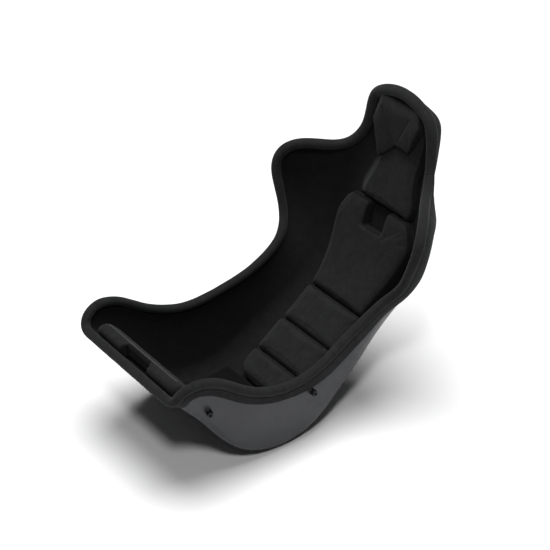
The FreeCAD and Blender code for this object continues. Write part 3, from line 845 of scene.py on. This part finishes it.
def sew_pad(obj, plan):
    """Draw in the seams and the border of the face; return the darkening of each point's cloth: its side
    walls, and on a pad without them its recess, which is painted shade.
    """
    points = points_of(obj)
    normal = normals_of(obj)
    face = off_lining(plan, points, normal)
    sewn = np.exp(-(plan.seam_distance(points) / 0.0016) ** 2) * face
    border = np.exp(-((face - 0.5) / 0.22) ** 2) if plan.walls else np.zeros(len(points))
    push = 0.00035 * unevenness(points, 0.085) * face - plan.seam_depth * sewn - 0.0005 * border
    points = points + normal * push[:, None]
    if plan.feather:
        points = feathered(points, plan.feather)
    recess = np.zeros(len(points))
    if plan.recess:
        recess = smoothstep(plan.recess - np.abs(points[:, 0]), 0.0, RECESS_ROUND)
        recess *= smoothstep(RECESS_Y - points[:, 1], 0.0, RECESS_ROUND / 2)
        points[:, 1] += RECESS_SINK * recess
    put_points(obj, points)
    # Without darker walls the recess mask is returned: it darkens the sunk recess as painted shade.
    return 1 - face if plan.walls else recess


def make_pad(name, plan):
    obj = copy_mesh(name + "_foam", name + "_cushion")
    fill_pad(obj, plan)
    wall_darkening_and_recess_shade = sew_pad(obj, plan)
    obj.data.materials.append(plan.cloth)
    obj.data.polygons.foreach_set("use_smooth", [True] * len(obj.data.polygons))
    points = points_of(obj)
    set_cloth(obj, (points - points.mean(0)) @ pad_axes(points).T)
    wall = obj.data.attributes.new("wall", "FLOAT", "POINT")
    wall.data.foreach_set("value", wall_darkening_and_recess_shade.astype(np.float32))
    return finish_piece(obj, "pad_fabric", name + "_cover", name + "_foam")


# The headrest's middle is a triangle standing on its point; the shoulder pad's left horn has a bent seam.
HEAD_POINT = (0.0, 0.3643, 0.5799)
HEAD_FOLDS = ((0.050, 0.3643, 0.6679), (-0.050, 0.3643, 0.6679))
HEAD_SEAMS = [(fold, HEAD_POINT) for fold in HEAD_FOLDS]
HORN = ((0.040, 0, 0.357), (0.092, 0, 0.402), (0.150, 0, 0.402))
HORN_SEAMS = list(zip(HORN[:-1], HORN[1:]))
PLANS = {
    # the seat pad's near-black cloth is painted shade for the deep pan
    "seat_pad": PadPlan(cloth=SEAT_CLOTH_PAINTED_SHADE),
    "hip_pad": PadPlan(),
    "lumbar_pad_lower": PadPlan(),
    "lumbar_pad_upper": PadPlan(),
    "shoulder_pad": PadPlan(voxel=0.0034, seams=HORN_SEAMS, flat_seams=True, seam_depth=0.0005),
    "upper_back_pad": PadPlan(voxel=0.0033, side=0.0024, feather=0.050),
    "headrest_pad": PadPlan(voxel=0.0026, top=0.0012, side=0.0030, on_lining=False, seams=HEAD_SEAMS,
                            seam_depth=0.0022, reach_up=0.006),
    # The thigh pad has no darker walls, so its sunk recess is darkened instead, as painted shade.
    "thigh_pad": PadPlan(voxel=0.0026, side=0.0014, walls=False, recess=0.056),
}


# ---------------------------------------------------------------- lining and inserts
def laid_lining():
    """The lining as laid by hand: slow unevenness over the shell."""
    obj = copy_mesh("inner_lining", "inner_lining_cloth")
    points = points_of(obj)
    lift = 0.00022 * unevenness(points, 0.11) + 0.00010 * unevenness(points[:, [1, 2, 0]], 0.031)
    put_points(obj, points + normals_of(obj) * lift[:, None])
    obj.data.materials.append(LINING_CLOTH)
    set_cloth(obj, points)
    return finish_piece(obj, "lining_fabric", "inner_lining")


def thigh_piping():
    """Welt along the back of the thigh pad's crest, in a light cloth that paints a highlight along the
    crest.
    """
    tree = tree_of(bpy.data.objects["thigh_pad_cushion"])
    around = 12
    path = []
    for x in np.linspace(-PIPING_X, PIPING_X, 120):
        foot, _, _, _ = tree.ray_cast(Vector((x, PIPING_Y, 0.6)), Vector((0, 0, -1)))
        if foot is not None:
            path.append(foot)
    path = np.array(path)
    for _ in range(3):
        path[1:-1] = 0.25 * path[:-2] + 0.5 * path[1:-1] + 0.25 * path[2:]
    points = []
    for k, place in enumerate(path):
        radius = PIPING_R * min(1.0, 0.25 + min(k, len(path) - 1 - k) / 3)
        for angle in np.linspace(0, 2 * math.pi, around + 1)[:-1]:
            points.append(place + np.array([0, math.cos(angle), math.sin(angle)]) * radius)
    faces = loft_faces(len(path), around) + end_caps(len(path), around)
    obj = make_object("thigh_pad_piping", points, faces, PIPING_CLOTH_PAINTED_HIGHLIGHT)
    set_cloth(obj, np.array(points))
    return finish_piece(obj, "pad_fabric")


# A side insert turned about its axis: (height over the shell, radius). Flange, barrel with a groove, chamfer
# and the mouth of the bore.
INSERT = [(-0.0024, 0.0042), (-0.0024, 0.0168), (-0.0022, 0.0170), (-0.0011, 0.0170), (-0.0009, 0.0168),
          (-0.0009, 0.0082), (-0.0007, 0.0080), (0.0022, 0.0080), (0.0024, 0.0077), (0.0028, 0.0077),
          (0.0030, 0.0080), (0.0122, 0.0080), (0.0128, 0.0079), (0.0136, 0.0072), (0.0139, 0.0069),
          (0.0140, 0.0064), (0.0140, 0.0048), (0.0138, 0.0044), (0.0133, 0.0040)]
INSERT_FOOT = 0.00525       # the mount is so far out from the shell along its axis
BORE = (0.0130, 0.0152)     # top and depth of the thread
BORE_ROWS = 144
THREAD_PITCH = 0.00125      # M8
THREAD_R = 0.0034
THREAD_DEPTH = 0.00062


def threaded_insert(mount, node):
    """The turned insert, with an M8 thread down its bore."""
    axis = Vector(mount["axis"]).normalized()
    foot = Vector(mount["pos_m"]) - axis * INSERT_FOOT
    side = axis.orthogonal().normalized()
    other = axis.cross(side)
    top, deep = BORE
    outline = INSERT + [(top - deep * k / BORE_ROWS, None) for k in range(BORE_ROWS + 1)]
    around = 48
    points = []
    for height, radius in outline:
        for k in range(around):
            angle = 2 * math.pi * k / around
            spoke = side * math.cos(angle) + other * math.sin(angle)
            reach = radius
            if radius is None:
                phase = (height / THREAD_PITCH + k / around) % 1.0
                reach = THREAD_R + THREAD_DEPTH * abs(2 * phase - 1)
            points.append(foot + axis * height + spoke * reach)
    obj = make_object(node + "_threaded", points, loft_faces(len(outline), around, closed=True), ZINC)
    return finish_piece(obj, "insert_steel", node)


# ---------------------------------------------------------------- the scene
def soft_light(name, place, target, size, power):
    light = bpy.data.lights.new(name, "AREA")
    light.shape = "DISK"
    light.size = size
    light.energy = power
    obj = bpy.data.objects.new(name, light)
    bpy.context.scene.collection.objects.link(obj)
    obj.location = place
    obj.rotation_euler = (Vector(target) - Vector(place)).to_track_quat("-Z", "Y").to_euler()


def studio():
    """Pale floor under a wide soft light, with a small one to the front left."""
    paint = Paint("floor_pale", (0.92, 0.92, 0.92), 0.9)
    fleck = paint.noise(3.0, 3.0)
    paint.finish(paint.ramp(fleck, [(0.3, (0.915, 0.915, 0.915)), (0.7, (0.925, 0.925, 0.925))]))
    reach = 14.0
    across = 15
    rows = np.linspace(-reach, reach, across)
    points = [(x, y, 0.0) for y in rows for x in rows]
    floor = make_object("studio_floor", points, grid_faces(across, across)[:, ::-1], paint.material)
    world = bpy.data.worlds.new("studio_world")
    world.use_nodes = True
    background = world.node_tree.nodes["Background"]
    background.inputs["Color"].default_value = (1, 1, 1, 1)
    background.inputs["Strength"].default_value = 0.04
    bpy.context.scene.world = world
    soft_light("overhead", (-0.5, 0.6, 6.4), (-0.5, 0.6, 0), 5.0, 540)
    soft_light("key", (2.6, -2.0, 4.3), (0, 0, 0.2), 0.7, 85)
    bpy.context.scene.view_settings.view_transform = "Standard"


def camera():
    """A long lens 32 degrees above the seat, 54 degrees round from its front to its left."""
    data = bpy.data.cameras.new("camera")
    data.lens = 117.15
    data.sensor_width = 36.0
    data.clip_end = 60
    obj = bpy.data.objects.new("camera", data)
    bpy.context.scene.collection.objects.link(obj)
    azimuth, elevation = math.radians(53.879), math.radians(32.0)
    ahead = Vector((-math.sin(azimuth) * math.cos(elevation), math.cos(azimuth) * math.cos(elevation),
                    -math.sin(elevation)))
    obj.location = (2.9229, -2.1266, 2.6048)
    obj.rotation_euler = ahead.to_track_quat("-Z", "Y").to_euler()
    bpy.context.scene.camera = obj


NODES["seat_shell"].data.materials.clear()
NODES["seat_shell"].data.materials.append(SHELL_PAINT)
for pad in PADS:
    NODES[pad + "_tape"].data.materials.clear()
    NODES[pad + "_tape"].data.materials.append(TAPE)
edge_covers(Rim(NODES["seat_shell"], NODES["inner_lining"]), NODES["seat_shell"], NODES["inner_lining"])
laid_lining()
for pad in PADS:
    make_pad(pad, PLANS[pad])
thigh_piping()
for mount in frame["record"]["mounts"]:
    place = mount["name"].replace("side_mount_", "")
    threaded_insert(mount, "insert_" + place)
studio()
camera()
